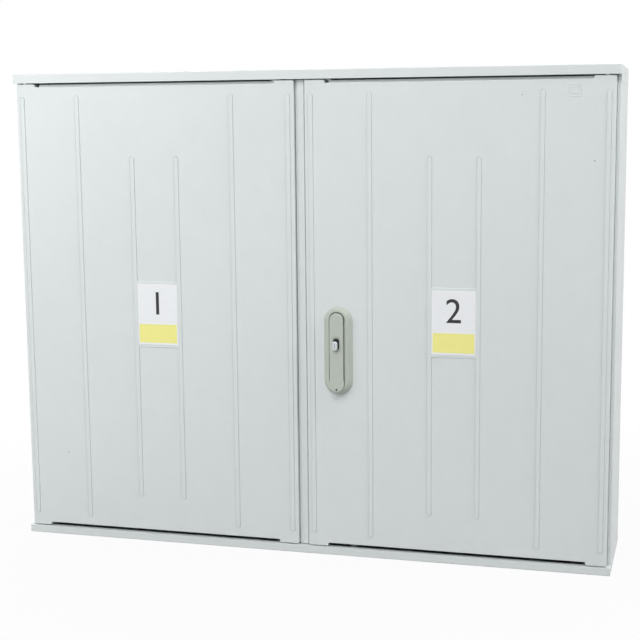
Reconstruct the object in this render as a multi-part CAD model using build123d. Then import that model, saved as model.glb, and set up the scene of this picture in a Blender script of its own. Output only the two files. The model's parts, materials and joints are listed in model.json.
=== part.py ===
from build123d import *
import math
import os

# Wall-mounted two-door enclosure of moulded polyester, in millimetres.
# X runs to the right, Y to the back and Z up. The origin is the middle of the underside.

# Overall sizes of the closed cabinet
width = 800.0
height = 631.0
depth = 155.0

# Roof cap and base plate
roof_fascia = 12.0
roof_skirt = 21.0
base_height = 10.0
cap_plate = 4.0
cap_rim = 4.0
band_behind_door = 2.5
cap_corner = 1.6
cap_edge = 1.2
base_rim = 9.7
rebate_drop = 2.0
rebate_from_post = 8.0
rebate_from_pin = 12.0

# Side walls, back wall and centre post
wall = 3.5
wall_inset = 0.3
wall_corner = 1.0
wall_nose_gap = 0.4
wall_nose_depth = 8.0
tongue_gap = 0.2
flange = 20.0
post_nose = 13.0
post_flange = 36.0
post_nose_reach = 3.5
post_wall = 3.2
post_depth = 10.0

# Doors
door_inset = 2.0
door_thickness = 11.0
door_skin = 3.0
door_rim = 3.0
door_side_gap = 5.0
door_middle_gap = 14.0
door_end_gap = 1.2
tab_width = 26.5
tab_height = 4.1
lip_height = 3.3
lip_set_back = 5.0
lip_notch = 4.5
door_corner = 1.5
door_edge = 1.0
stiffener = 3.0
stiffener_depth = 6.0
post_clearance = 1.0

# Ribs on the face of each door, from its middle line
rib_width = 5.8
rib_height = 1.0
rib_draft = 20.0
moat_width = 0.7
moat_depth = 0.5
rib_shift = 1.2
edge_rib_from_side = 8.0
tall_rib_share = 0.557
short_rib_share = 0.16
edge_rib_end = 13.0
tall_rib_end = 12.0
short_rib_end = 92.0

# Hinge pins
pin_radius = 3.0
pin_edge = 11.0
pin_in_door = 14.0
pin_in_cap = 7.5
running_gap = 0.05
socket_spare = 0.8

# Swing handle: places from the door's free edge and from the base
handle_from_edge = 42.5
spindle_height = 314.0
housing_width = 38.4
housing_top_width = 28.0
housing_height = 8.5
housing_above = 16.3
housing_below = 98.8
housing_crest_above = 13.8
housing_crest_below = 93.5
housing_crest_edge = 1.2
pocket_gap = 1.4
pocket_floor = 1.9
recess_floor = 4.5
recess_below = 86.0
lever_width = 18.0
lever_lift = 0.3
lever_thickness = 3.2
hub_depth = 2.4
lever_below = 93.0
grip_width = 19.6
grip_length = 20.0
lever_edge = 1.1
dot_radius = 0.55
dot_depth = 0.8
dot_above_end = 2.9
tilt_pin_above = 3.5
tilt_pin_lift = 2.3
tilt_pin_radius = 1.25
lug_radius = 2.2
lug_width = 8.0
lug_gap = 0.2
spindle_radius = 5.0
spindle_square = 8.0
journal_radius = 3.5
collar_radius = 6.0
collar_thickness = 0.6
ring_thickness = 1.0
ring_rim = 1.8

# Key lock in the lever
lock_below = 32.0
plug_radius = 3.2
wing_width = 6.4
wing_height = 11.5
wing_lift = 0.3
wing_length = 6.7
wing_edge = 0.8
window_width = 5.4
window_height = 17.8
window_depth = 2.0
dish_width = 13.2
dish_height = 22.6
dish_depth = 1.0
keyway_width = 1.2
keyway_length = 5.6
keyway_depth = 2.0

# Rack and pinion behind the right door
module_size = 1.5
pinion_teeth = 12
pressure_angle = 25.0
tooth_thinning = 0.1
handle_turn = 90.0
rack_spare_teeth = 1.5

# Locking rods and bolts
rod_width = 8.0
bolt_width = 12.0
bar_thickness = 4.0
bar_behind_band = 0.7
bar_hook = 5.0
guide_gap = 0.1
guide_height = 12.0
guide_wall = 3.0
guide_base = 2.5
guide_foot = 8.0
bolt_length = 90.0
bolt_from_edge = 28.0
knob_radius = 5.0
knob_length = 12.0
knob_from_end = 50.0

# Gear case
case_half_width = 28.0
case_half_height = 36.0
case_wall = 2.5
case_post = 7.0
case_cover = 2.0
case_gap = 0.8
slot_gap = 0.4

# Screws
screw_radius = 2.0
screw_head_radius = 3.5
screw_head_height = 2.2
screw_bite = 2.2
sunk_radius = 2.5
sunk_head_radius = 4.6
sunk_length = 7.4
slot_width = 1.0
slot_depth = 1.0

# Mounting plate and wall fixing
plate_thickness = 2.0
plate_side_margin = 70.0
plate_end_margin = 50.0
boss_radius = 8.0
boss_length = 6.0
spacer_length = 14.0
plate_hole_edge = 18.0
wall_hole_radius = 4.5
wall_hole_from_side = 38.0
wall_hole_from_end = 50.0
side_screw_from_front = 88.0

# Cable entry
entry_length = 520.0
entry_width = 58.0
entry_from_back = 54.0
entry_cover = 3.0
entry_lap = 8.0
entry_count = 6
grommet_radius = 19.0
grommet_pitch = 80.0
grommet_lip = 4.0
grommet_groove = 2.0
grommet_skin = 1.6

# Places worked out from the sizes above
front = -depth / 2
back = depth / 2
side = width / 2
roof_under = height - roof_fascia
seam = height - roof_skirt
roof_plate_under = height - cap_plate
wall_out = side - wall_inset
wall_back = back - wall
tongue_back = back - cap_rim - tongue_gap
tongue_out = side - cap_rim - tongue_gap
door_front = front + door_inset
door_inner = door_front + door_skin
door_back = door_front + door_thickness
wall_front = door_back
band_back = door_back + band_behind_door
door_out = side - door_side_gap
door_in = door_middle_gap / 2
door_middle = (door_out + door_in) / 2
tab_top = roof_under - door_end_gap
tab_bottom = base_height + door_end_gap
door_top = tab_top - tab_height
door_bottom = tab_bottom + tab_height
pin_x = door_out - pin_edge
pin_y = door_front + door_thickness / 2
tongue_front = pin_y + math.hypot(pin_edge, door_thickness / 2) + 0.6
handle_x = door_in + handle_from_edge
bar_front = band_back + bar_behind_band
bar_back = bar_front + bar_thickness
bar_top = roof_under + bar_hook
bar_bottom = base_height - bar_hook
guide_back = bar_back + guide_gap + 2.2
lever_back = housing_height + lever_lift
lever_front = lever_back + lever_thickness
hub_back = lever_back - hub_depth
tilt_pin_z = spindle_height + tilt_pin_above
tilt_pin_lift_out = hub_back + tilt_pin_lift
pitch_radius = module_size * pinion_teeth / 2
tooth_pitch = math.pi * module_size
rod_travel = pitch_radius * math.radians(handle_turn)
addendum = module_size
dedendum = 1.25 * module_size
rod_inner = pitch_radius + dedendum
rod_outer = rod_inner + rod_width
rod_middle = (rod_inner + rod_outer) / 2
case_back = bar_back + case_gap
bolt_x = door_in + bolt_from_edge
entry_middle = back - entry_from_back
plate_half_x = side - plate_side_margin
plate_half_z = (seam - base_height) / 2 - plate_end_margin
plate_z = (seam + base_height) / 2
plate_back = wall_back - boss_length - spacer_length


def block(x, y, z):
    """A box between two limits on each axis."""
    limits = (x, y, z)
    size = [high - low for low, high in limits]
    middle = [(high + low) / 2 for low, high in limits]
    return Pos(*middle) * Box(*size)


def upright(x, y, radius, low, high):
    """A vertical cylinder from low to high."""
    return Pos(x, y, (low + high) / 2) * Cylinder(radius, high - low)


def fore_aft(x, z, radius, start, stop):
    """A cylinder along Y from start to stop."""
    return Pos(x, (start + stop) / 2, z) * Rot(90, 0, 0) * Cylinder(radius, stop - start)


def crosswise(y, z, radius, start, stop):
    """A cylinder along X from start to stop."""
    return Pos((start + stop) / 2, y, z) * Rot(0, 90, 0) * Cylinder(radius, stop - start)


def raised(sketch, y, amount, taper=0.0):
    """Pushes a sketch, drawn as seen from the front, from y towards the front."""
    plane = Plane(origin=(0, y, 0), x_dir=(1, 0, 0), z_dir=(0, -1, 0))
    return extrude(plane * sketch, amount=amount, taper=taper)


def along_y(points, start, stop):
    """A prism along Y over an outline of (x, z) points."""
    face = make_face(Polyline(*points, close=True))
    return raised(face, stop, stop - start)


def along_x(points, start, stop):
    """A prism along X over an outline of (y, z) points."""
    plane = Plane(origin=(start, 0, 0), x_dir=(0, 1, 0), z_dir=(1, 0, 0))
    return extrude(plane * make_face(Polyline(*points, close=True)), amount=stop - start)


def edges_along(shape, axis, test):
    """The straight edges parallel to an axis whose middle passes a test."""
    return [e for e in shape.edges().filter_by(axis) if test(e.center())]


def mirrored(shape):
    """The same shape on the other side of the cabinet's middle."""
    return mirror(shape, about=Plane.YZ)


def group(shapes):
    """Several separate solids kept as one node."""
    solids = []
    for shape in shapes:
        solids.extend(shape.solids())
    return Compound(children=solids)


def slotted_screw(head_radius, head_height, shank_radius, length):
    """A slotted pan-head screw pointing down from its seat at the origin."""
    head = Pos(0, 0, head_height / 2) * Cylinder(head_radius, head_height)
    slot = Pos(0, 0, head_height) * Box(3 * head_radius, slot_width, 2 * slot_depth)
    shank = Pos(0, 0, -length / 2) * Cylinder(shank_radius, length)
    return head - slot + shank


def sunk_screw(length):
    """A slotted countersunk screw pointing down from its flush face at the origin."""
    cone_depth = sunk_head_radius - sunk_radius
    cone = Pos(0, 0, -cone_depth / 2) * Cone(sunk_radius, sunk_head_radius, cone_depth)
    slot = Box(3 * sunk_head_radius, slot_width, 2 * slot_depth)
    shank = Pos(0, 0, -(length + cone_depth) / 2) * Cylinder(sunk_radius, length - cone_depth)
    return cone - slot + shank


def sunk_hole(length):
    """The hole that a countersunk screw fills, with its clearance."""
    cone_depth = sunk_head_radius - sunk_radius
    cone = Pos(0, 0, -cone_depth / 2) * Cone(
        sunk_radius + running_gap, sunk_head_radius + running_gap, cone_depth
    )
    shank = Pos(0, 0, -(length + 1) / 2) * Cylinder(sunk_radius + running_gap, length + 1)
    return cone + shank


def turned_towards(direction):
    """Turns a screw so that its point looks along one axis."""
    turns = {
        "-Z": Rot(0, 0, 0),
        "+Z": Rot(180, 0, 0),
        "+Y": Rot(90, 0, 0),
        "-Y": Rot(-90, 0, 0),
        "+X": Rot(0, -90, 0),
        "-X": Rot(0, 90, 0),
    }
    return turns[direction]


def hinge_socket(x, low, high):
    """The bore for a hinge pin."""
    return upright(x, pin_y, pin_radius + running_gap, low, high)


def shell_screw_places():
    """Each countersunk screw of the shell: its flush face and the way that it points."""
    places = []
    side_z = height - roof_skirt / 2
    side_y = front + side_screw_from_front
    for hand, direction in ((-1, "+X"), (1, "-X")):
        places.append(((hand * side, side_y, side_z), direction))
        for z in (seam * 0.17, seam * 0.5, seam * 0.83):
            x = hand * (wall_out - wall - flange / 2)
            places.append(((x, back, z), "-Y"))
        for y in (front + depth * 0.3, front + depth * 0.75):
            places.append(((hand * (tongue_out - flange / 2), y, 0), "+Z"))
    for x in (-side / 2, 0, side / 2):
        places.append(((x, back, side_z), "-Y"))
        places.append(((x, back - cap_rim - tongue_gap - flange / 2, 0), "+Z"))
    return places


def make_shell_screws():
    return group(
        Pos(*place) * turned_towards(direction) * sunk_screw(sunk_length)
        for place, direction in shell_screw_places()
    )


def drilled_for_shell(shape):
    """Cuts the holes of the shell's screws that reach into one piece."""
    box = shape.bounding_box()
    reach = sunk_length + 2
    for place, direction in shell_screw_places():
        near = all(
            low - reach < value < high + reach
            for low, value, high in zip(box.min, place, box.max)
        )
        if near:
            shape -= Pos(*place) * turned_towards(direction) * sunk_hole(sunk_length)
    return shape


def make_cap(low, high, hollow_low, hollow_high):
    """A shallow tray with a solid band along its front, used for the roof and the base."""
    tray = block((-side, side), (front, back), (low, high))
    tray = fillet(edges_along(tray, Axis.Z, lambda c: c.Y < 0), cap_corner)
    hollow = block(
        (-side + cap_rim, side - cap_rim), (band_back, back - cap_rim), (hollow_low, hollow_high)
    )
    return tray - hollow


def make_roof():
    roof = make_cap(seam, height, seam - 1, roof_plate_under)
    roof -= block((-side - 1, side + 1), (front - 1, wall_front), (seam - 1, roof_under))
    roof -= block(
        (-side + cap_rim, side - cap_rim), (front - 1, band_back + 1), (seam - 1, roof_under)
    )
    top = [e for e in roof.edges() if e.center().Z > height - 0.01]
    roof = fillet(top, cap_edge)
    for hand in (-1, 1):
        roof -= hinge_socket(hand * pin_x, roof_under - 1, roof_under + pin_in_cap + socket_spare)
    return drilled_for_shell(roof)


def make_base():
    base = make_cap(0, base_height, cap_plate, base_height + 1)
    bottom = [e for e in base.edges() if e.center().Z < 0.01]
    base = fillet(bottom, cap_edge)
    near, far = post_flange / 2 + rebate_from_post, pin_x - rebate_from_pin
    for hand in (-1, 1):
        base -= block(
            sorted((hand * near, hand * far)),
            (front + base_rim, band_back + 1),
            (base_height - rebate_drop, base_height + 1),
        )
        base -= hinge_socket(hand * pin_x, base_height - pin_in_cap - socket_spare, base_height + 1)
    half = entry_width / 2 - entry_lap
    base -= block(
        (-entry_length / 2, entry_length / 2), (entry_middle - half, entry_middle + half), (-1, 5)
    )
    for x, y in entry_screw_places():
        base -= upright(x, y, screw_radius + running_gap, cap_plate - screw_bite, cap_plate + 1)
    return drilled_for_shell(base)


def wall_outline(outer, inner):
    """Outline of a wall with a flange under the roof and one on the base.

    outer is the wall's face, inner the face of the tongues that stand inside the caps;
    both grow away from the middle of the cabinet.
    """
    return [
        (inner - flange, cap_plate),
        (inner, cap_plate),
        (inner, base_height),
        (outer, base_height),
        (outer, seam),
        (inner, seam),
        (inner, roof_plate_under),
        (inner - flange, roof_plate_under),
        (inner - flange, roof_plate_under - wall),
        (inner - wall, roof_plate_under - wall),
        (inner - wall, seam - wall),
        (outer - wall, seam - wall),
        (outer - wall, base_height + wall),
        (inner - wall, base_height + wall),
        (inner - wall, cap_plate + wall),
        (inner - flange, cap_plate + wall),
    ]


def make_right_side():
    body = along_y(wall_outline(wall_out, tongue_out), tongue_front, tongue_back)
    panel = block((wall_out - wall, wall_out), (wall_front, wall_back), (base_height, seam))
    corner = edges_along(panel, Axis.Z, lambda c: c.X > wall_out - 1 and c.Y < wall_front + 1)
    body += fillet(corner, wall_corner)
    body += block(
        (door_out + wall_nose_gap, wall_out - wall + 0.5),
        (wall_front, wall_front + wall_nose_depth),
        (base_height, seam),
    )
    rear = block(
        (wall_out - wall - flange, wall_out - wall + 0.5),
        (wall_back - wall, wall_back),
        (base_height + wall, seam - wall),
    )
    return drilled_for_shell(body + rear)


def wall_hole_places():
    x = side - wall_hole_from_side
    low, high = base_height + wall_hole_from_end, seam - wall_hole_from_end
    return [(-x, low), (x, low), (-x, high), (x, high)]


def plate_screw_places():
    x = plate_half_x - plate_hole_edge
    z = plate_half_z - plate_hole_edge
    return [(-x, plate_z - z), (x, plate_z - z), (-x, plate_z + z), (x, plate_z + z)]


def make_back_wall():
    reach = tongue_out - flange - 2
    body = along_x(wall_outline(back, tongue_back), -reach, reach)
    panel = block((-wall_out, wall_out), (wall_back, back), (base_height, seam))
    body += panel
    for x, z in plate_screw_places():
        body += fore_aft(x, z, boss_radius, wall_back - boss_length, wall_back + 0.5)
        body -= fore_aft(x, z, screw_radius + running_gap, wall_back - boss_length - 1, wall_back)
    for x, z in wall_hole_places():
        body -= fore_aft(x, z, wall_hole_radius, wall_back - 1, back + 1)
    return drilled_for_shell(body)


def post_screw_places():
    return [(x, z) for x in (-9.0, 9.0) for z in (roof_under + 4.0, base_height - 3.0)]


def make_centre_post():
    half = post_flange / 2
    nose_front = door_back - post_nose_reach
    stop_front = door_back + post_clearance
    stop_back = stop_front + post_wall
    back_edge = stop_front + post_depth
    outline = [
        (-post_nose / 2, nose_front),
        (post_nose / 2, nose_front),
        (post_nose / 2, stop_front),
        (half, stop_front),
        (half, back_edge),
        (half - post_wall, back_edge),
        (half - post_wall, stop_back),
        (-half + post_wall, stop_back),
        (-half + post_wall, back_edge),
        (-half, back_edge),
        (-half, stop_front),
        (-post_nose / 2, stop_front),
    ]
    face = make_face(Polyline(*outline, close=True))
    post = extrude(Pos(0, 0, base_height) * face, amount=roof_under - base_height)
    foot_front = band_back + tongue_gap
    foot = (foot_front, foot_front + post_wall)
    post += block((-half, half), foot, (cap_plate + tongue_gap, base_height + 12))
    post += block((-half, half), foot, (roof_under - 12, roof_plate_under - tongue_gap))
    for low, high in ((base_height - 1, tab_bottom), (tab_top, roof_under + 1)):
        post -= block((-half, half), (front, stop_front), (low, high))
    for x, z in post_screw_places():
        post -= fore_aft(x, z, screw_radius + running_gap, front, back)
    return post


def drilled_for_post(cap):
    """The holes in the back of a cap's band for the screws of the post."""
    box = cap.bounding_box()
    for x, z in post_screw_places():
        if box.min.Z < z < box.max.Z:
            bore = fore_aft(x, z, screw_radius + running_gap, band_back - 8.2, band_back + 1)
            cap -= bore
    return cap


def make_post_screws():
    seat = band_back + tongue_gap + post_wall
    screw = slotted_screw(screw_head_radius - 0.9, screw_head_height, screw_radius, post_wall + 8)
    return group(
        Pos(x, seat, z) * turned_towards("-Y") * screw for x, z in post_screw_places()
    )


def make_hinge_pins():
    """Four plain pins, held in the caps, on which the doors turn."""
    pins = []
    for hand in (-1, 1):
        x = hand * pin_x
        pins.append(upright(x, pin_y, pin_radius, tab_top - pin_in_door, roof_under + pin_in_cap))
        pins.append(upright(x, pin_y, pin_radius, base_height - pin_in_cap, tab_bottom + pin_in_door))
    return group(pins)


def with_rib(door, offset, low, high):
    """Adds a raised rib with round ends and drafted sides, standing in a fine moat."""
    place = Pos(door_middle + offset, (low + high) / 2) * Rot(0, 0, 90)
    length = high - low
    moat = place * SlotOverall(length + 2 * moat_width, rib_width + 2 * moat_width)
    rib = place * SlotOverall(length, rib_width)
    foot = door_front + moat_depth
    door -= raised(moat, foot, moat_depth + 1)
    return door + raised(rib, foot, moat_depth + rib_height, taper=rib_draft)


def make_door_shell(notch_by_post):
    """The moulded door: skin, rim, corner tabs, lip, hinge bosses, stiffeners and ribs.

    The lip along the top leaves a notch beside the tab at one of its ends.
    """
    size_x = door_out - door_in
    outline = Pos(door_middle, (door_top + door_bottom) / 2) * Rectangle(
        size_x, door_top - door_bottom
    )
    for x in (door_in + tab_width / 2, door_out - tab_width / 2):
        outline += Pos(x, (tab_top + tab_bottom) / 2) * Rectangle(tab_width, tab_top - tab_bottom)
    door = raised(outline, door_back, door_thickness)
    door = fillet(door.edges().filter_by(Axis.Y), door_corner)
    face_edges = door.faces().sort_by(Axis.Y)[0].edges()
    door = fillet(face_edges, door_edge)
    door -= block(
        (door_in + door_rim, door_out - door_rim),
        (door_inner, door_back + 1),
        (door_bottom + door_rim, door_top - door_rim),
    )
    lip_start, lip_stop = door_in + tab_width - 1, door_out - tab_width + 1
    if notch_by_post:
        lip_start += lip_notch + 1
    else:
        lip_stop -= lip_notch + 1
    door += block(
        (lip_start, lip_stop),
        (door_front + lip_set_back, door_back),
        (door_top - 1, door_top + lip_height),
    )
    boss_x = (pin_x - pin_edge + 1, door_out - 1)
    boss_height = pin_in_door + socket_spare + door_rim
    for low, high in ((tab_bottom, tab_bottom + boss_height), (tab_top - boss_height, tab_top)):
        door += block(boss_x, (door_inner - 1, door_back), (low, high))
    rib_low = door_bottom + door_rim - 1
    rib_high = door_top - door_rim + 1
    ribs_y = (door_inner - 0.5, door_inner + stiffener_depth)
    for x in (door_middle - 80, door_middle, door_middle + 80):
        door += block((x - stiffener / 2, x + stiffener / 2), ribs_y, (rib_low, rib_high))
    for z in (height * 0.25, height * 0.5, height * 0.75):
        door += block(
            (door_middle - 80, door_out - door_rim + 1), ribs_y, (z - stiffener / 2, z + stiffener / 2)
        )
    half = size_x / 2
    for hand in (-1, 1):
        edge_rib = hand * (half - edge_rib_from_side)
        door = with_rib(door, edge_rib, door_bottom + edge_rib_end, door_top - edge_rib_end)
        tall_rib = hand * half * tall_rib_share - rib_shift
        door = with_rib(door, tall_rib, door_bottom + tall_rib_end, door_top - tall_rib_end)
        short_rib = hand * half * short_rib_share - rib_shift
        door = with_rib(door, short_rib, door_bottom + short_rib_end / 2, door_top - short_rib_end)
    door -= hinge_socket(pin_x, tab_bottom - 1, tab_bottom + pin_in_door + socket_spare)
    door -= hinge_socket(pin_x, tab_top - pin_in_door - socket_spare, tab_top + 1)
    return door


def guide_screw_offset(bar_width):
    return bar_width / 2 + guide_wall + guide_foot / 2


def make_guide(x, z, bar_width):
    """A guide block with two feet, screwed behind a door; the bar slides in its slot."""
    pillar = bar_width / 2 + guide_wall
    foot = pillar + guide_foot
    z_limits = (z - guide_height / 2, z + guide_height / 2)
    guide = block((x - foot, x + foot), (door_inner, door_inner + guide_base), z_limits)
    guide += block((x - pillar, x + pillar), (door_inner, guide_back), z_limits)
    half_slot = bar_width / 2 + guide_gap
    guide -= block(
        (x - half_slot, x + half_slot),
        (bar_front - guide_gap, bar_back + guide_gap),
        (z_limits[0] - 1, z_limits[1] + 1),
    )
    guide -= block(
        (x - half_slot + 1, x + half_slot - 1),
        (door_inner + guide_base, bar_front - guide_gap - guide_base),
        (z_limits[0] - 1, z_limits[1] + 1),
    )
    for hand in (-1, 1):
        screw_x = x + hand * guide_screw_offset(bar_width)
        guide -= fore_aft(screw_x, z, screw_radius + running_gap, door_inner - 1, door_back)
    return guide


def guide_screw_places(guides, bar_width):
    return [
        (x + hand * guide_screw_offset(bar_width), z)
        for x, z in guides
        for hand in (-1, 1)
    ]


def make_guide_screws(guides, bar_width):
    screw = slotted_screw(screw_head_radius, screw_head_height, screw_radius, guide_base + screw_bite)
    seat = door_inner + guide_base
    return group(
        Pos(x, seat, z) * turned_towards("-Y") * screw
        for x, z in guide_screw_places(guides, bar_width)
    )


def drilled_behind(door, places):
    """Blind holes in the back of a door's skin."""
    for x, z in places:
        door -= fore_aft(x, z, screw_radius + running_gap, door_inner - screw_bite, door_inner + 1)
    return door


def rod_guide_places():
    upper_x = handle_x - rod_middle
    lower_x = handle_x + rod_middle
    return [
        (upper_x, door_top - 24),
        (upper_x, spindle_height + case_half_height + 60),
        (lower_x, spindle_height - case_half_height - 120),
        (lower_x, door_bottom + 24),
    ]


def bolt_guide_places():
    """Guides of the left door's bolts, as seen before mirroring to the left."""
    return [
        (bolt_x, door_top - 14),
        (bolt_x, bar_top - bolt_length + 8),
        (bolt_x, bar_bottom + bolt_length - 8),
        (bolt_x, door_bottom + 14),
    ]


def case_post_places():
    x_off = case_half_width - case_post / 2
    z_off = case_half_height - case_post / 2
    return [(handle_x + i * x_off, spindle_height + k * z_off) for i in (-1, 1) for k in (-1, 1)]


def housing_screw_places():
    return [(handle_x, spindle_height - 46), (handle_x, spindle_height - 84)]


def make_right_door():
    door = make_door_shell(notch_by_post=True)
    door -= fore_aft(handle_x, spindle_height, spindle_radius + running_gap, front - 5, door_back)
    for x, z in housing_screw_places():
        door -= fore_aft(x, z, screw_radius + running_gap, front - 5, door_inner + 1)
    door = drilled_behind(door, guide_screw_places(rod_guide_places(), rod_width))
    return drilled_behind(door, case_post_places())


def make_left_door():
    door = make_door_shell(notch_by_post=False)
    door = drilled_behind(door, guide_screw_places(bolt_guide_places(), bolt_width))
    return mirrored(door)


def make_bolt(top):
    """A flat hand bolt with a knob; its end hooks behind the band of the roof or the base."""
    if top:
        low, high = bar_top - bolt_length, bar_top
        knob_z = bar_top - knob_from_end
    else:
        low, high = bar_bottom, bar_bottom + bolt_length
        knob_z = bar_bottom + knob_from_end
    bar = block((bolt_x - bolt_width / 2, bolt_x + bolt_width / 2), (bar_front, bar_back), (low, high))
    end = [e for e in bar.edges().filter_by(Axis.Y) if (e.center().Z > high - 1) == top]
    end = [e for e in end if abs(e.center().Z - (high if top else low)) < 1]
    bar = chamfer(end, 1.5)
    knob = fore_aft(bolt_x, knob_z, knob_radius, bar_back - 0.5, bar_back + knob_length)
    rim = knob.edges().sort_by(Axis.Y)[-1]
    return mirrored(bar + fillet(rim, 1.5))


def oval(top, bottom, oval_width):
    """A tall oval with round ends, centred on the handle."""
    tall = top - bottom
    return Pos(handle_x, (top + bottom) / 2) * Rot(0, 0, 90) * SlotOverall(tall, oval_width)


def front_plane(lift):
    """The plane at a height above the face of the door, seen from the front."""
    return Plane(origin=(0, door_front - lift, 0), x_dir=(1, 0, 0), z_dir=(0, -1, 0))


def make_handle_housing():
    """The oval escutcheon: sloped sides, round pocket for the hub, shallow bed for the lever."""
    z = spindle_height
    foot = front_plane(0) * oval(z + housing_above, z - housing_below, housing_width)
    crest = front_plane(housing_height) * oval(
        z + housing_crest_above, z - housing_crest_below, housing_top_width
    )
    housing = loft([foot, crest])
    crest_edges = housing.faces().sort_by(Axis.Y)[0].edges()
    housing = fillet(crest_edges, housing_crest_edge)
    pocket_radius = lever_width / 2 + pocket_gap
    housing -= fore_aft(
        handle_x, z, pocket_radius, door_front - housing_height - 1, door_front - pocket_floor
    )
    housing -= block(
        (handle_x - pocket_radius, handle_x + pocket_radius),
        (door_front - housing_height - 1, door_front - recess_floor),
        (z - recess_below, z),
    )
    housing -= fore_aft(handle_x, z, spindle_radius + running_gap, front - 9, door_front + 1)
    for x, screw_z in housing_screw_places():
        housing -= fore_aft(
            x, screw_z, screw_radius + running_gap, door_front - recess_floor + 0.9, door_front + 1
        )
    return housing


def make_housing_screws():
    grip = door_skin + recess_floor - 1.1
    screw = slotted_screw(screw_head_radius, screw_head_height, screw_radius, grip)
    return group(
        Pos(x, door_inner, z) * turned_towards("-Y") * screw for x, z in housing_screw_places()
    )


def make_spindle():
    """The spindle with its collar and the lug that carries the lever."""
    x, z = handle_x, spindle_height
    collar_front = door_front - pocket_floor - 0.1 - collar_thickness
    square_start = case_back - case_gap - bar_thickness - 0.3
    journal_start = case_back - 0.3
    end = case_back + case_cover + ring_thickness + 1.2
    spindle = fore_aft(x, z, collar_radius, collar_front, collar_front + collar_thickness)
    spindle += fore_aft(x, z, spindle_radius, collar_front, square_start)
    half = spindle_square / 2
    spindle += block((x - half, x + half), (square_start, journal_start), (z - half, z + half))
    spindle += fore_aft(x, z, journal_radius, journal_start, end)
    pin_front = door_front - tilt_pin_lift_out
    lug_x = (x - lug_width / 2, x + lug_width / 2)
    spindle += block(
        lug_x, (pin_front, collar_front + 0.3), (tilt_pin_z - lug_radius, tilt_pin_z + lug_radius)
    )
    spindle += crosswise(pin_front, tilt_pin_z, lug_radius, *lug_x)
    return spindle - crosswise(pin_front, tilt_pin_z, tilt_pin_radius + running_gap, x - 9, x + 9)


def make_spindle_ring():
    seat = case_back + case_cover + 0.1
    ring = fore_aft(
        handle_x, spindle_height, journal_radius + ring_rim, seat, seat + ring_thickness
    )
    return ring - fore_aft(handle_x, spindle_height, journal_radius, seat - 1, seat + 3)


def gear_outline():
    """An involute gear outline, each tooth thinned a little for backlash."""
    pressure = math.radians(pressure_angle)
    base_radius = pitch_radius * math.cos(pressure)
    root_radius = pitch_radius - dedendum
    tip_radius = pitch_radius + addendum
    involute = math.tan(pressure) - pressure
    half_pitch_angle = math.pi / (2 * pinion_teeth) - tooth_thinning / pitch_radius
    steps = 4
    radii = [base_radius + (tip_radius - base_radius) * i / steps for i in range(steps + 1)]
    flank = [(root_radius, half_pitch_angle + involute)]
    for radius in radii:
        angle = math.acos(base_radius / radius)
        flank.append((radius, half_pitch_angle + involute - (math.tan(angle) - angle)))
    points = []
    for tooth in range(pinion_teeth):
        middle = 2 * math.pi * (tooth + 0.5) / pinion_teeth
        for radius, half in flank:
            points.append((radius * math.cos(middle - half), radius * math.sin(middle - half)))
        for radius, half in reversed(flank):
            points.append((radius * math.cos(middle + half), radius * math.sin(middle + half)))
    return make_face(Polyline(*points, close=True))


def make_pinion():
    face = Pos(handle_x, spindle_height) * gear_outline()
    pinion = raised(face, bar_back, bar_thickness)
    half = spindle_square / 2 + running_gap
    return pinion - block(
        (handle_x - half, handle_x + half),
        (bar_front - 1, bar_back + 1),
        (spindle_height - half, spindle_height + half),
    )


def rack_outline(low, high, end):
    """A toothed bar to the right of the pinion, its teeth pointing left, from low to high.

    end is where the plain bar stops. One tooth is centred on the pinion's height.
    """
    lean = math.tan(math.radians(pressure_angle))
    half_pitch = tooth_pitch / 4 - tooth_thinning
    half_root = half_pitch + dedendum * lean
    half_tip = half_pitch - addendum * lean
    root_x = pitch_radius + dedendum
    tip_x = pitch_radius - addendum
    points = [(rod_outer, end), (rod_outer, high)]
    points.append((root_x, high))
    first = math.floor((high - half_root) / tooth_pitch)
    last = math.ceil((low + half_root) / tooth_pitch)
    for k in range(first, last - 1, -1):
        z = k * tooth_pitch
        points += [(root_x, z + half_root), (tip_x, z + half_tip)]
        points += [(tip_x, z - half_tip), (root_x, z - half_root)]
    points.append((root_x, end))
    return points


def make_lower_rod():
    """Rises as the handle turns: rack to the right of the pinion."""
    low = -rod_travel - rack_spare_teeth * tooth_pitch
    high = rack_spare_teeth * tooth_pitch + 1
    end = bar_bottom - spindle_height
    points = [(handle_x + x, spindle_height + z) for x, z in rack_outline(low, high, end)]
    return along_y(points, bar_front, bar_back)


def make_upper_rod():
    """Falls as the handle turns: the lower rod's form turned half round, with its own length."""
    low = -rod_travel - rack_spare_teeth * tooth_pitch
    high = rack_spare_teeth * tooth_pitch + 1
    end = spindle_height - bar_top
    points = [(handle_x - x, spindle_height - z) for x, z in rack_outline(low, high, end)]
    return along_y(points, bar_front, bar_back)


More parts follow.
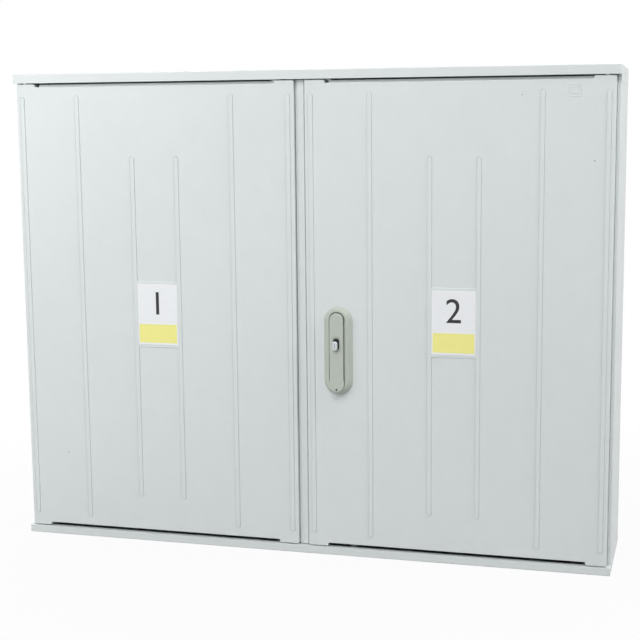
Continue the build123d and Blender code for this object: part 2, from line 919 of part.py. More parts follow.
def make_gear_case():
    x, z = handle_x, spindle_height
    case = block(
        (x - case_half_width, x + case_half_width),
        (door_inner, case_back),
        (z - case_half_height, z + case_half_height),
    )
    inside_x = case_half_width - case_wall
    inside_z = case_half_height - case_wall
    hollow = block(
        (x - inside_x, x + inside_x),
        (door_inner + case_wall, case_back + 1),
        (z - inside_z, z + inside_z),
    )
    for post_x, post_z in case_post_places():
        half = case_post / 2
        hollow -= block(
            (post_x - half, post_x + half), (door_inner, case_back), (post_z - half, post_z + half)
        )
    case -= hollow
    for hand in (-1, 1):
        slot = sorted((x + hand * (rod_inner - slot_gap), x + hand * (rod_outer + slot_gap)))
        end = sorted((z - hand * (inside_z - 1), z - hand * (case_half_height + 1)))
        case -= block(slot, (bar_front - slot_gap, case_back + 1), end)
    case -= fore_aft(x, z, spindle_radius + running_gap, door_inner - 1, door_inner + case_wall + 1)
    for post_x, post_z in case_post_places():
        case -= fore_aft(post_x, post_z, screw_radius + running_gap, door_inner - 1, case_back + 1)
    return case


def make_gear_cover():
    x, z = handle_x, spindle_height
    cover = block(
        (x - case_half_width, x + case_half_width),
        (case_back, case_back + case_cover),
        (z - case_half_height, z + case_half_height),
    )
    cover = fillet(cover.edges().filter_by(Axis.Y), 2)
    cover -= fore_aft(x, z, journal_radius + running_gap, case_back - 1, case_back + 5)
    for post_x, post_z in case_post_places():
        cover -= fore_aft(post_x, post_z, screw_radius + running_gap, case_back - 1, case_back + 5)
    return cover


def make_case_screws():
    grip = case_back + case_cover - door_inner + screw_bite - 0.1
    screw = slotted_screw(screw_head_radius - 0.3, screw_head_height, screw_radius, grip)
    seat = case_back + case_cover
    return group(
        Pos(x, seat, z) * turned_towards("-Y") * screw for x, z in case_post_places()
    )


def make_lever():
    """The lever: a flat plate with a flared grip, a round hub behind its top, a dished lock
    window, a fine blind dot near its end and a slot for the spindle's lug."""
    x, z = handle_x, spindle_height
    radius = lever_width / 2
    outline = oval(z + radius, z - lever_below, lever_width)
    grip_z = z - lever_below + grip_length / 2
    outline += Pos(x, grip_z) * RectangleRounded(grip_width, grip_length, 9)
    lever = raised(outline, door_front - lever_back, lever_thickness)
    rim = lever.faces().sort_by(Axis.Y)[0].edges()
    lever = fillet(rim, lever_edge)
    lever += fore_aft(x, z, radius, door_front - lever_back - 0.5, door_front - hub_back)
    lock_z = z - lock_below
    lift = lever_front
    dish = loft(
        [
            front_plane(lift - dish_depth)
            * window(lock_z, window_width + 0.6, window_height + 0.6),
            front_plane(lift + 0.01) * window(lock_z, dish_width, dish_height),
        ]
    )
    lever -= dish
    lever -= raised(
        window(lock_z, window_width, window_height),
        door_front - lift + window_depth,
        window_depth + 1,
    )
    lever -= fore_aft(
        x,
        z - lever_below + dot_above_end,
        dot_radius,
        door_front - lift - 1,
        door_front - lift + dot_depth,
    )
    lever -= fore_aft(
        x, lock_z, plug_radius + running_gap, door_front - lift - 1, door_front - lever_back + 1
    )
    pin_front = door_front - tilt_pin_lift_out
    half = lug_width / 2 + lug_gap
    lever -= block(
        (x - half, x + half),
        (pin_front - lug_radius - lug_gap, door_front - lever_back),
        (tilt_pin_z - lug_radius - 1.2, tilt_pin_z + lug_radius + 1),
    )
    lever -= block(
        (x - half, x + half),
        (door_front - lever_back, door_front - hub_back + 1),
        (tilt_pin_z - lug_radius - 1.2, z + radius + 1),
    )
    bore = crosswise(pin_front, tilt_pin_z, tilt_pin_radius + running_gap, x - 12, x + 12)
    return lever - bore


def window(z, window_wide, window_tall):
    return Pos(handle_x, z) * RectangleRounded(window_wide, window_tall, window_wide * 0.3)


def make_tilt_pin():
    half = math.sqrt((lever_width / 2) ** 2 - tilt_pin_above**2) - 0.6
    pin_front = door_front - tilt_pin_lift_out
    return crosswise(pin_front, tilt_pin_z, tilt_pin_radius, handle_x - half, handle_x + half)


def make_lock_plug():
    """The plug of the key lock: a round shank and an oval wing in front with the keyway."""
    z = spindle_height - lock_below
    wing_back = door_front - lever_front - wing_lift
    wing_front = wing_back - wing_length
    outline = Pos(handle_x, z) * RectangleRounded(wing_width, wing_height, wing_width * 0.45)
    wing = raised(outline, wing_back, wing_length)
    plug = fillet(wing.faces().sort_by(Axis.Y)[0].edges(), wing_edge)
    plug += fore_aft(handle_x, z, plug_radius, wing_back - 0.5, door_front - lever_back - 0.3)
    return plug - block(
        (handle_x - keyway_width / 2, handle_x + keyway_width / 2),
        (wing_front - 1, wing_front + keyway_depth),
        (z - keyway_length / 2, z + keyway_length / 2),
    )


def make_mounting_plate():
    plate = block(
        (-plate_half_x, plate_half_x),
        (plate_back - plate_thickness, plate_back),
        (plate_z - plate_half_z, plate_z + plate_half_z),
    )
    plate = fillet(plate.edges().filter_by(Axis.Y), 6)
    for x, z in plate_screw_places():
        plate -= fore_aft(x, z, screw_radius + running_gap, plate_back - 9, plate_back + 1)
    return plate


def make_plate_spacers():
    spacers = []
    for x, z in plate_screw_places():
        tube = fore_aft(x, z, boss_radius - 1, plate_back, plate_back + spacer_length)
        spacers.append(tube - fore_aft(x, z, screw_radius + running_gap, plate_back - 1, wall_back))
    return group(spacers)


def make_plate_screws():
    seat = plate_back - plate_thickness
    length = plate_thickness + spacer_length + boss_length - 0.5
    screw = slotted_screw(screw_head_radius, screw_head_height, screw_radius, length)
    return group(Pos(x, seat, z) * turned_towards("+Y") * screw for x, z in plate_screw_places())


def grommet_places():
    span = (entry_count - 1) * grommet_pitch
    return [-span / 2 + i * grommet_pitch for i in range(entry_count)]


def entry_screw_places():
    half_x = entry_length / 2 + entry_lap / 2
    half_y = entry_width / 2 - entry_lap / 2
    return [
        (x, entry_middle + y) for x in (-half_x, 0, half_x) for y in (-half_y, half_y)
    ]


def make_cable_entry_plate():
    x = entry_length / 2 + entry_lap
    y = entry_width / 2
    plate = block(
        (-x, x), (entry_middle - y, entry_middle + y), (cap_plate, cap_plate + entry_cover)
    )
    plate = fillet(plate.edges().filter_by(Axis.Z), 4)
    for hole_x in grommet_places():
        plate -= upright(hole_x, entry_middle, grommet_radius, 0, cap_plate + entry_cover + 1)
    for screw_x, screw_y in entry_screw_places():
        plate -= upright(screw_x, screw_y, screw_radius + running_gap, 0, 20)
    return plate


def make_entry_screws():
    screw = slotted_screw(screw_head_radius, screw_head_height, screw_radius, entry_cover + 2.1)
    seat = cap_plate + entry_cover
    return group(Pos(x, y, seat) * screw for x, y in entry_screw_places())


def make_grommets():
    """Rubber bushes with a closed skin, one for each cable."""
    low = cap_plate - 1.8
    plate_low = cap_plate
    plate_high = cap_plate + entry_cover
    inner = grommet_radius - grommet_groove
    outer = grommet_radius + grommet_lip - grommet_groove
    outline = [
        (0, plate_high - grommet_skin),
        (inner - 2, plate_high - grommet_skin),
        (inner - 2, low),
        (inner + 1.5, low),
        (grommet_radius - 0.1, plate_low),
        (grommet_radius - 0.1, plate_high),
        (outer, plate_high),
        (outer, plate_high + 1.6),
        (inner - 2, plate_high + 3),
        (inner - 4, plate_high),
        (0, plate_high),
    ]
    plane = Plane(origin=(0, 0, 0), x_dir=(1, 0, 0), z_dir=(0, -1, 0))
    bush = revolve(plane * make_face(Polyline(*outline, close=True)), axis=Axis.Z)
    return group(Pos(x, entry_middle, 0) * bush for x in grommet_places())


right_side = make_right_side()

nodes = {
    "roof": drilled_for_post(make_roof()),
    "base_plate": drilled_for_post(make_base()),
    "right_side_wall": right_side,
    "left_side_wall": mirrored(right_side),
    "back_wall": make_back_wall(),
    "centre_post": make_centre_post(),
    "shell_screws": make_shell_screws(),
    "post_screws": make_post_screws(),
    "hinge_pins": make_hinge_pins(),
    "mounting_plate": make_mounting_plate(),
    "plate_spacers": make_plate_spacers(),
    "plate_screws": make_plate_screws(),
    "cable_entry_plate": make_cable_entry_plate(),
    "cable_entry_screws": make_entry_screws(),
    "cable_grommets": make_grommets(),
    "left_door": make_left_door(),
    "left_bolt_guides": mirrored(
        group(make_guide(x, z, bolt_width) for x, z in bolt_guide_places())
    ),
    "left_guide_screws": mirrored(make_guide_screws(bolt_guide_places(), bolt_width)),
    "left_top_bolt": make_bolt(True),
    "left_bottom_bolt": make_bolt(False),
    "right_door": make_right_door(),
    "rod_guides": group(make_guide(x, z, rod_width) for x, z in rod_guide_places()),
    "rod_guide_screws": make_guide_screws(rod_guide_places(), rod_width),
    "gear_case": make_gear_case(),
    "gear_cover": make_gear_cover(),
    "case_screws": make_case_screws(),
    "upper_rod": make_upper_rod(),
    "lower_rod": make_lower_rod(),
    "handle_housing": make_handle_housing(),
    "housing_screws": make_housing_screws(),
    "handle_spindle": make_spindle(),
    "spindle_ring": make_spindle_ring(),
    "pinion": make_pinion(),
    "tilt_pin": make_tilt_pin(),
    "handle_lever": make_lever(),
    "lock_plug": make_lock_plug(),
}

os.makedirs("parts", exist_ok=True)
for name, shape in nodes.items():
    export_step(shape, f"parts/{name}.step")
    print(name, len(shape.solids()), round(shape.volume))
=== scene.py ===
import json
import math

import bpy
import numpy as np
from mathutils import Matrix, Vector


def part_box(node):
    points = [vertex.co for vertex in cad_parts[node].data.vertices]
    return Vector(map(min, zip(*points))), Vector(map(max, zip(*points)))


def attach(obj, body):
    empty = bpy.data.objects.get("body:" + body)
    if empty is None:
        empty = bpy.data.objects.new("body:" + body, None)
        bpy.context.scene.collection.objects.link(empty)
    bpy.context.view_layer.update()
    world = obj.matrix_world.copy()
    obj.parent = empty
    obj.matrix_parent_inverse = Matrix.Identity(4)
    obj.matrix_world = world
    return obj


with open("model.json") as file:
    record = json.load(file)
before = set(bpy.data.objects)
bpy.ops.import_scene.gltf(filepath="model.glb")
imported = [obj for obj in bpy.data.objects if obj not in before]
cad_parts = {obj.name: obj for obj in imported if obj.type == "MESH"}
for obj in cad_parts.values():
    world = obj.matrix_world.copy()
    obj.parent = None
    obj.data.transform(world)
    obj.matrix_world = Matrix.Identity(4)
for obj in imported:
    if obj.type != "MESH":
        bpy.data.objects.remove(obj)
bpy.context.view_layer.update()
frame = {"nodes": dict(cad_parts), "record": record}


# Colours

def linear(*srgb):
    """Colour of a swatch from 0 to 255, in linear light with full alpha."""
    values = np.array(srgb) / 255
    light = np.where(values <= 0.04045, values / 12.92, ((values + 0.055) / 1.055) ** 2.4)
    return (*light.tolist(), 1.0)


POLYESTER = linear(217, 222, 222)
POLYAMIDE = linear(184, 191, 181)
ZINC = linear(196, 198, 200)
CHROME = linear(200, 206, 210)
RUBBER = linear(28, 28, 29)
FLECK = linear(176, 180, 180)
LABEL_WHITE = linear(238, 240, 242)
LABEL_YELLOW = linear(243, 238, 146)
INK = linear(34, 34, 36)


# Materials

def principled(name, colour, **sockets):
    """A material with one principled shader, its constants set on the shader's own sockets."""
    material = bpy.data.materials.new(name)
    material.use_nodes = True
    shader = material.node_tree.nodes["Principled BSDF"]
    shader.inputs["Base Color"].default_value = colour
    for socket, value in sockets.items():
        shader.inputs[socket.replace("_", " ")].default_value = value
    return material, material.node_tree, shader


def place(tree, stretch=(1, 1, 1), offset=(0, 0, 0)):
    """Object coordinates, stretched and moved, for a pattern that stays on the piece."""
    where = tree.nodes.new("ShaderNodeTexCoord")
    mapping = tree.nodes.new("ShaderNodeMapping")
    mapping.inputs["Location"].default_value = offset
    mapping.inputs["Scale"].default_value = stretch
    tree.links.new(where.outputs["Object"], mapping.inputs["Vector"])
    return mapping.outputs["Vector"]


def clouds(tree, scale, detail=2.0, stretch=(1, 1, 1), offset=(0, 0, 0)):
    """Soft noise from 0 to 1; scale is in patches per metre."""
    noise = tree.nodes.new("ShaderNodeTexNoise")
    noise.inputs["Scale"].default_value = scale
    noise.inputs["Detail"].default_value = detail
    tree.links.new(place(tree, stretch, offset), noise.inputs["Vector"])
    return noise.outputs["Fac"]


def calculate(tree, operation, first, second):
    """One Math node; each input is a number or another node's output."""
    node = tree.nodes.new("ShaderNodeMath")
    node.operation = operation
    for socket, value in zip(node.inputs, (first, second)):
        if isinstance(value, (int, float)):
            socket.default_value = value
        else:
            tree.links.new(value, socket)
    return node.outputs[0]


def ramp(tree, value, low, high, start, stop):
    """Maps low to start and high to stop, held outside them."""
    node = tree.nodes.new("ShaderNodeMapRange")
    for socket, number in (("From Min", low), ("From Max", high), ("To Min", start), ("To Max", stop)):
        node.inputs[socket].default_value = number
    tree.links.new(value, node.inputs["Value"])
    return node.outputs["Result"]


def patches(tree, scale, detail, noise, factor, stretch=(1, 1, 1), offset=(0, 0, 0)):
    """Clouds whose values, between the two of noise, become factors between the two of factor."""
    return ramp(tree, clouds(tree, scale, detail, stretch, offset), *noise, *factor)


def shade(tree, shader, colour, factors):
    """Multiplies the colour by each factor, one after the other."""
    total = factors[0]
    for factor in factors[1:]:
        total = calculate(tree, "MULTIPLY", total, factor)
    scale = tree.nodes.new("ShaderNodeVectorMath")
    scale.operation = "SCALE"
    scale.inputs[0].default_value = colour[:3]
    tree.links.new(total, scale.inputs["Scale"])
    tree.links.new(scale.outputs["Vector"], shader.inputs["Base Color"])


def relief(tree, shader, layers):
    """Stacks bumps: each layer is (height from 0 to 1, depth in metres)."""
    normal = None
    for height, depth in layers:
        bump = tree.nodes.new("ShaderNodeBump")
        bump.inputs["Strength"].default_value = 1.0
        bump.inputs["Distance"].default_value = depth
        tree.links.new(height, bump.inputs["Height"])
        if normal is not None:
            tree.links.new(normal, bump.inputs["Normal"])
        normal = bump.outputs["Normal"]
    tree.links.new(normal, shader.inputs["Normal"])


def moulded_polyester():
    """Hot-pressed, glass-filled polyester: flow clouds, fibre streaks, fine grain, satin skin."""
    material, tree, shader = principled("moulded polyester", POLYESTER, Roughness=0.42, IOR=1.52)
    shade(tree, shader, POLYESTER, [
        patches(tree, scale=5.0, detail=3.0, noise=(0.25, 0.75), factor=(0.985, 1.012)),
        patches(tree, scale=42.0, detail=3.0, noise=(0.25, 0.75), factor=(0.989, 1.01), offset=(3, 1, 2)),
        patches(tree, scale=160.0, detail=2.0, noise=(0.2, 0.8), factor=(0.993, 1.006), stretch=(1, 1, 0.12)),
        patches(tree, scale=26.0, detail=5.0, noise=(0.66, 0.8), factor=(1.0, 0.972), offset=(7, 5, 1)),
    ])
    gloss = patches(tree, scale=30.0, detail=4.0, noise=(0.3, 0.7), factor=(0.36, 0.47), offset=(1, 9, 4))
    tree.links.new(gloss, shader.inputs["Roughness"])
    relief(tree, shader, [
        (clouds(tree, scale=9.0, offset=(2, 2, 8)), 0.0006),
        (clouds(tree, scale=240.0), 0.000035),
        (clouds(tree, scale=1300.0), 0.000012),
    ])
    return material


def grained_polyamide():
    """Injection-moulded handle plastic with a fine spark-eroded grain, a little polished by hands."""
    material, tree, shader = principled("grained polyamide", POLYAMIDE, Roughness=0.46, IOR=1.53)
    shade(tree, shader, POLYAMIDE, [
        patches(tree, scale=60.0, detail=3.0, noise=(0.25, 0.75), factor=(0.98, 1.015)),
        patches(tree, scale=1500.0, detail=2.0, noise=(0.25, 0.75), factor=(0.975, 1.02)),
    ])
    gloss = patches(tree, scale=55.0, detail=3.0, noise=(0.3, 0.7), factor=(0.4, 0.52), offset=(4, 1, 1))
    tree.links.new(gloss, shader.inputs["Roughness"])
    relief(tree, shader, [(clouds(tree, scale=1500.0, detail=3.0), 0.00004)])
    return material


def zinc_plate():
    """Rolled steel with a dull zinc skin: streaks along the rolling and faint cloudy stains."""
    material, tree, shader = principled("zinc plate", ZINC, Metallic=1.0, Roughness=0.34)
    shade(tree, shader, ZINC, [
        patches(tree, scale=700.0, detail=2.0, noise=(0.2, 0.8), factor=(0.93, 1.03), stretch=(1, 1, 0.05)),
        patches(tree, scale=35.0, detail=4.0, noise=(0.3, 0.7), factor=(0.94, 1.02)),
    ])
    gloss = patches(tree, scale=90.0, detail=4.0, noise=(0.3, 0.7), factor=(0.27, 0.44))
    tree.links.new(gloss, shader.inputs["Roughness"])
    relief(tree, shader, [(clouds(tree, scale=900.0, stretch=(1, 1, 0.06)), 0.00001)])
    return material


def bright_chrome():
    """Plated lock plug: nearly a mirror, with a trace of handling haze."""
    material, tree, shader = principled("bright chrome", CHROME, Metallic=1.0, Roughness=0.1)
    haze = patches(tree, scale=400.0, detail=3.0, noise=(0.3, 0.8), factor=(0.07, 0.17))
    tree.links.new(haze, shader.inputs["Roughness"])
    shade(tree, shader, CHROME, [
        patches(tree, scale=300.0, detail=2.0, noise=(0.3, 0.7), factor=(0.97, 1.0)),
    ])
    return material


def soft_rubber():
    """Black bush rubber with a dry bloom and pitted skin."""
    material, tree, shader = principled("soft rubber", RUBBER, Roughness=0.78)
    shade(tree, shader, RUBBER, [
        patches(tree, scale=120.0, detail=4.0, noise=(0.3, 0.75), factor=(0.85, 1.35)),
    ])
    relief(tree, shader, [(clouds(tree, scale=900.0, detail=3.0), 0.00004)])
    return material


def printed_film(name, colour):
    """Label film, its ink and the flecks: an even colour under a faintly uneven, satin surface."""
    material, tree, shader = principled(name, colour, Roughness=0.3, IOR=1.5)
    shade(tree, shader, colour, [
        patches(tree, scale=220.0, detail=3.0, noise=(0.25, 0.75), factor=(0.985, 1.01)),
    ])
    relief(tree, shader, [(clouds(tree, scale=70.0), 0.00005)])
    return material


polyester = moulded_polyester()
polyamide = grained_polyamide()
zinc = zinc_plate()
chrome = bright_chrome()
rubber = soft_rubber()
label_white = printed_film("label white", LABEL_WHITE)
label_yellow = printed_film("label pale yellow", LABEL_YELLOW)
label_ink = printed_film("label ink", INK)
fleck_grey = printed_film("fleck grey", FLECK)

finishes = {
    "polyester": polyester,
    "handle_polyamide": polyamide,
    "zinc_plated_steel": zinc,
    "lock_chrome": chrome,
    "rubber": rubber,
}
for part in frame["record"]["subparts"]:
    node = frame["nodes"][part["node"]]
    node.data.materials.clear()
    node.data.materials.append(finishes[part["material_slot"]])


# Shapes

def rounded_rectangle(width, height, radius, corner_steps=8):
    """Points (x, z) round a rectangle whose corners are quarter circles, in turning order."""
    turns = np.linspace(0, np.pi / 2, corner_steps + 1)
    quarters = turns[None, :] + np.arange(4)[:, None] * np.pi / 2
    centre_x = np.array([1, -1, -1, 1]) * (width / 2 - radius)
    centre_z = np.array([1, 1, -1, -1]) * (height / 2 - radius)
    x = centre_x[:, None] + radius * np.cos(quarters)
    z = centre_z[:, None] + radius * np.sin(quarters)
    return np.stack([x.ravel(), z.ravel()], axis=1)


def upright_rings(x, z, rings, depths):
    """Points of rings that stand upright round (x, z): each ring's offsets, at its own depth y."""
    y = np.broadcast_to(depths[:, None], rings.shape[:2])
    return np.stack([x + rings[..., 0], y, z + rings[..., 1]], axis=-1).reshape(-1, 3)


def ring_faces(rings, around, closed_rings=False):
    """Quads between neighbouring rings of points; each ring closes on itself.

    With closed_rings the last ring joins the first one too.
    """
    row = np.arange(rings if closed_rings else rings - 1)[:, None]
    column = np.arange(around)[None, :]
    following = (column + 1) % around
    above = (row + 1) % rings
    quads = np.stack([
        row * around + column, row * around + following,
        above * around + following, above * around + column,
    ], axis=-1)
    return quads.reshape(-1, 4).tolist()


def add_piece(name, points, faces, material, body):
    """Makes a flat-shaded mesh, gives it its finish and lets it ride on a body."""
    mesh = bpy.data.meshes.new(name)
    mesh.from_pydata(np.asarray(points).tolist(), [], faces)
    mesh.polygons.foreach_set("use_smooth", [False] * len(mesh.polygons))
    mesh.materials.append(material)
    mesh.update()
    piece = bpy.data.objects.new(name, mesh)
    bpy.context.scene.collection.objects.link(piece)
    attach(piece, body)


def add_plate(name, centre, width, height, radius, thickness, material, body):
    """A thin upright plate: a rounded rectangle carried forward and drawn in over its edge.

    The edge profile is a quarter circle with the plate's thickness as radius. It starts a little
    behind the surface below, and one face closes the front.
    """
    root, edge_points = 0.0001, 5
    x, y, z = centre
    angle = np.linspace(0, np.pi / 2, edge_points)
    inset = np.concatenate([[0], thickness * (1 - np.cos(angle))])
    lift = np.concatenate([[-root], thickness * np.sin(angle)])
    outline = rounded_rectangle(width, height, radius)
    rings = outline[None] - np.sign(outline)[None] * inset[:, None, None]
    around = len(outline)
    faces = ring_faces(len(rings), around)
    last = (len(rings) - 1) * around
    faces.append(list(range(last, last + around)))
    faces.append(list(range(around - 1, -1, -1)))
    add_piece(name, upright_rings(x, z, rings, y - lift), faces, material, body)


def add_square_ridge(name, centre, size, width, height, body):
    """A raised square line: a low half-round profile carried round a square with mitred corners.

    At each corner the profile's sideways reach is stretched by the diagonal, so that the four
    runs keep their width.
    """
    root, profile_points = 0.0002, 9
    x, y, z = centre
    angle = np.linspace(0, np.pi, profile_points)
    across = np.concatenate([[-width / 2], -np.cos(angle) * width / 2, [width / 2]])
    lift = np.concatenate([[-root], np.sin(angle) * height, [-root]])
    corners = np.array([[1, 1], [-1, 1], [-1, -1], [1, -1]])
    rings = (size / 2 + across)[:, None, None] * corners[None]
    faces = ring_faces(len(across), len(corners), closed_rings=True)
    add_piece(name, upright_rings(x, z, rings, y - lift), faces, polyester, body)


def add_number(name, text, centre, size, body):
    """A plain printed numeral, made a mesh, standing a hair proud of its label."""
    ink_thickness = 0.00003
    curve = bpy.data.curves.new(name, "FONT")
    curve.body = text
    curve.size = size
    curve.align_x = "CENTER"
    curve.align_y = "CENTER"
    curve.extrude = ink_thickness
    source = bpy.data.objects.new(name + "_outline", curve)
    bpy.context.scene.collection.objects.link(source)
    bpy.context.view_layer.update()
    mesh = bpy.data.meshes.new_from_object(source)
    bpy.data.objects.remove(source)
    mesh.transform(Matrix.Translation(Vector(centre)) @ Matrix.Rotation(math.pi / 2, 4, "X"))
    mesh.materials.clear()
    mesh.materials.append(label_ink)
    mesh.name = name
    piece = bpy.data.objects.new(name, mesh)
    bpy.context.scene.collection.objects.link(piece)
    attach(piece, body)


def add_bar(name, outline, low, high, material, body):
    """An upright bar: an outline of x and y points, turning left seen from above, from low to high."""
    outline = np.array(outline)
    around = len(outline)
    ends = [np.column_stack([outline, np.full(around, z)]) for z in (low, high)]
    faces = ring_faces(2, around)
    faces.append(list(range(around - 1, -1, -1)))
    faces.append(list(range(around, 2 * around)))
    add_piece(name, np.concatenate(ends), faces, material, body)


def add_lock_window_shade(name, plug, front, width, low, high, depth, bore, body):
    """A black plate in the lock window that stands for painted shade and a painted dark reflection: a rounded
    plate with a round hole for the plug.

    Each of the outline's rays is drawn in to the bore's radius round the plug's axis; the plate's
    two faces and its two edges are the four bands between the outer and the inner ring.
    """
    corner_share = 0.32
    x, z = plug
    middle = np.array([0, (low + high) / 2])
    outline = rounded_rectangle(width, high - low, width * corner_share) + middle
    hole = outline / np.linalg.norm(outline, axis=1)[:, None] * bore
    rings = np.stack([outline, outline, hole, hole])
    depths = np.array([front, front + depth, front + depth, front])
    faces = [quad[::-1] for quad in ring_faces(len(rings), len(outline), closed_rings=True)]
    add_piece(name, upright_rings(x, z, rings, depths), faces, rubber, body)


# Raised land on the post between the doors, with a lower step on its left

door_low, door_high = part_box("right_door")
post_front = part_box("centre_post")[0][1]
land_left, land_right, land_height = -0.0039, 0.0051, 0.0034
land_edge, land_root = 0.0006, 0.0005
step_left, step_height = -0.0063, 0.0020
land_front = post_front - land_height
land_back = post_front + land_root
step_front = post_front - step_height
land_outline = [
    (land_left + land_edge, land_front),
    (land_right - land_edge, land_front),
    (land_right, land_front + land_edge),
    (land_right, land_back),
    (step_left, land_back),
    (step_left, step_front),
    (land_left, step_front),
    (land_left, land_front + land_edge),
]
add_bar("post_land", land_outline, door_low[2], door_high[2], polyester, "cabinet")


# Labels on their raised pads, each with a pale yellow field and a plain number

door_thickness = 0.011
face = door_high[1] - door_thickness
pad_width, pad_height, pad_corner, pad_lift = 0.0600, 0.0888, 0.001, 0.0007
label_width, label_height, label_corner, label_lift = 0.0562, 0.0815, 0.0015, 0.0003
field_width, field_height, field_corner, field_lift = 0.0535, 0.0250, 0.0005, 0.00005
field_drop = 0.0255
number_size, number_rise, number_lift = 0.044, 0.0135, 0.00033

for side, middle, middle_z, text, body in (
    ("left", -0.1998, 0.3127, "1", "left_door_leaf"),
    ("right", 0.1998, 0.3136, "2", "right_door_leaf"),
):
    add_plate(side + "_label_pad", (middle, face, middle_z), pad_width, pad_height, pad_corner,
              pad_lift, polyester, body)
    pad = face - pad_lift
    add_plate(side + "_label", (middle, pad, middle_z), label_width, label_height, label_corner,
              label_lift, label_white, body)
    add_plate(side + "_label_field", (middle, pad - label_lift, middle_z - field_drop), field_width,
              field_height, field_corner, field_lift, label_yellow, body)
    add_number(side + "_label_number", text, (middle, pad - number_lift, middle_z + number_rise),
               number_size, body)


# Black plate of painted shade in the lock window, and the dark dot near the lever's end

plug_low, plug_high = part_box("lock_plug")
lever_low, lever_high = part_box("handle_lever")
lever_front = lever_low[1]
plug_axis = ((plug_low[0] + plug_high[0]) / 2, (plug_low[2] + plug_high[2]) / 2)
window_shade_set_back, window_shade_width, window_shade_low, window_shade_high = 0.00045, 0.0083, -0.0056, 0.0082
window_shade_depth, window_shade_bore = 0.0009, 0.00325
# The lock window's black plate is painted shade and a painted dark reflection, drawn in the rubber finish.
add_lock_window_shade("lock_window_shade", plug_axis, lever_front + window_shade_set_back, window_shade_width, window_shade_low, window_shade_high,
               window_shade_depth, window_shade_bore, "lever")

dot_width, dot_corner, dot_lift, dot_above_end = 0.0026, 0.00125, 0.00005, 0.0029
dot_place = (plug_axis[0], lever_front, lever_low[2] + dot_above_end)
add_plate("lever_dot", dot_place, dot_width, dot_width, dot_corner, dot_lift, rubber, "lever")


# Faint flecks in the doors' skin and the raised double square

fleck_height, fleck_corner, fleck_lift = 0.0019, 0.0008, 0.00003
for number, (x, z, width, body) in enumerate((
    (0.2827, 0.5959, 0.0017, "right_door_leaf"),
    (0.3707, 0.5164, 0.0026, "right_door_leaf"),
    (-0.3378, 0.1171, 0.0020, "left_door_leaf"),
)):
    add_plate(f"skin_fleck_{number}", (x, face, z), width, fleck_height, fleck_corner, fleck_lift,
              fleck_grey, body)

square_centre = (0.3467, face, 0.6007)
ridge_width, ridge_height = 0.0009, 0.0005
for side_length in (0.0144, 0.0082):
    add_square_ridge(f"double_square_{round(side_length * 10000)}", square_centre, side_length,
                     ridge_width, ridge_height, "right_door_leaf")


# Stage, lights and camera

def seen_directly(tree):
    """One where a ray comes straight from the camera, or by a gloss or through glass."""
    path = tree.nodes.new("ShaderNodeLightPath")
    direct = calculate(tree, "MAXIMUM", path.outputs["Is Camera Ray"], path.outputs["Is Glossy Ray"])
    return calculate(tree, "MAXIMUM", direct, path.outputs["Is Transmission Ray"])


def make_world(ambient):
    """White to the camera and in reflections, an even pale light for everything else."""
    pale_blue = (0.93, 0.97, 1.0, 1)
    world = bpy.data.worlds.new("studio")
    bpy.context.scene.world = world
    world.use_nodes = True
    tree = world.node_tree
    tree.nodes.clear()
    light = tree.nodes.new("ShaderNodeBackground")
    light.inputs["Color"].default_value = pale_blue
    light.inputs["Strength"].default_value = ambient
    white = tree.nodes.new("ShaderNodeBackground")
    white.inputs["Color"].default_value = (1, 1, 1, 1)
    mix = tree.nodes.new("ShaderNodeMixShader")
    output = tree.nodes.new("ShaderNodeOutputWorld")
    tree.links.new(seen_directly(tree), mix.inputs["Fac"])
    tree.links.new(light.outputs[0], mix.inputs[1])
    tree.links.new(white.outputs[0], mix.inputs[2])
    tree.links.new(mix.outputs[0], output.inputs["Surface"])


def make_floor():
    """A wide pale floor that keeps a soft shadow near the object and fades to white around it.

    Where it is seen directly, a share of the paint is replaced by plain white: near_white close
    to the middle, far_white from fade_stop on.
    """
    reach, floor_z = 9.0, -0.0005
    paint_grey = 0.5
    fade_start, fade_stop, near_white, far_white = 0.3, 0.9, 0.93, 1.0
    mesh = bpy.data.meshes.new("floor")
    corners = [
        (-reach, -reach, floor_z), (reach, -reach, floor_z),
        (reach, reach, floor_z), (-reach, reach, floor_z),
    ]
    mesh.from_pydata(corners, [], [(0, 1, 2, 3)])
    floor = bpy.data.objects.new("floor", mesh)
    bpy.context.scene.collection.objects.link(floor)
    material = bpy.data.materials.new("pale floor")
    material.use_nodes = True
    tree = material.node_tree
    tree.nodes.clear()
    paint = tree.nodes.new("ShaderNodeBsdfDiffuse")
    paint.inputs["Color"].default_value = (paint_grey, paint_grey, paint_grey, 1)
    glow = tree.nodes.new("ShaderNodeEmission")
    glow.inputs["Color"].default_value = (1, 1, 1, 1)
    distance = tree.nodes.new("ShaderNodeVectorMath")
    distance.operation = "LENGTH"
    tree.links.new(place(tree), distance.inputs[0])
    white = ramp(tree, distance.outputs["Value"], fade_start, fade_stop, near_white, far_white)
    share = calculate(tree, "MULTIPLY", white, seen_directly(tree))
    mix = tree.nodes.new("ShaderNodeMixShader")
    output = tree.nodes.new("ShaderNodeOutputMaterial")
    tree.links.new(share, mix.inputs["Fac"])
    tree.links.new(paint.outputs[0], mix.inputs[1])
    tree.links.new(glow.outputs[0], mix.inputs[2])
    tree.links.new(mix.outputs[0], output.inputs["Surface"])
    floor.data.materials.append(material)


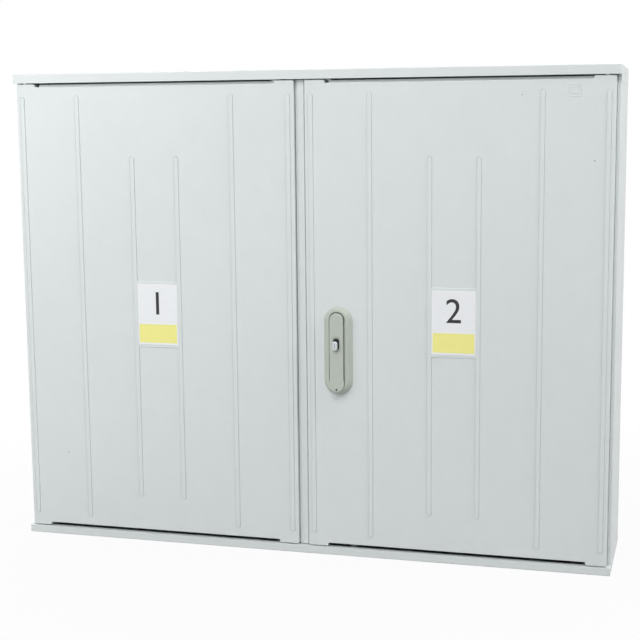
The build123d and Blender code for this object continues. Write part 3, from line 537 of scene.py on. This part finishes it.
def add_lamp(name, where, target, size, power):
    """A square soft box at a place, turned to a target."""
    lamp = bpy.data.lights.new(name, "AREA")
    lamp.shape = "SQUARE"
    lamp.size = size
    lamp.energy = power
    box = bpy.data.objects.new(name, lamp)
    box.location = where
    aim = Vector(target) - Vector(where)
    box.rotation_euler = aim.to_track_quat("-Z", "Y").to_euler()
    bpy.context.scene.collection.objects.link(box)


def make_camera():
    """The photograph's view: yaw to the left, pitch down, a trace of roll, off-centre frame.

    The focal length and the picture's centre are in pixels of the photograph's square frame.
    """
    frame_side = 640
    sensor = 36
    focal, centre_x, centre_y = 1320.0, 352.0, 319.5
    yaw, pitch, roll = math.radians(14.85), math.radians(-8.16), math.radians(0.36)
    standpoint = (0.497, -1.6945, 0.5545)
    data = bpy.data.cameras.new("camera")
    data.sensor_width = sensor
    data.lens = focal / frame_side * sensor
    data.shift_x = (frame_side / 2 - centre_x) / frame_side
    data.shift_y = (centre_y - frame_side / 2) / frame_side
    data.clip_start, data.clip_end = 0.05, 60
    turn = (
        Matrix.Rotation(yaw, 3, "Z")
        @ Matrix.Rotation(pitch, 3, "X")
        @ Matrix.Rotation(roll, 3, "Y")
    )
    right, ahead, up = turn.col
    axes = Matrix((right, up, -ahead)).transposed()
    camera = bpy.data.objects.new("camera", data)
    camera.matrix_world = Matrix.Translation(standpoint) @ axes.to_4x4()
    bpy.context.scene.collection.objects.link(camera)
    bpy.context.scene.camera = camera


make_world(ambient=0.12)
make_floor()
add_lamp("front_top", where=(0.0, -2.2, 2.4), target=(0, 0, 0.35), size=1.8, power=57)
add_lamp("left_close", where=(-1.0, -0.9, 0.85), target=(-0.2, 0, 0.4), size=0.7, power=4.8)
add_lamp("right_high", where=(1.9, -0.2, 1.9), target=(0.4, 0, 0.4), size=1.0, power=33)
add_lamp("behind", where=(-0.7, 2.8, 1.8), target=(0, 0, 0.3), size=2.0, power=62)
add_lamp("left_side", where=(-2.6, 0.45, 1.0), target=(-0.4, 0, 0.3), size=1.4, power=19)
make_camera()
bpy.context.scene.view_settings.view_transform = "Standard"
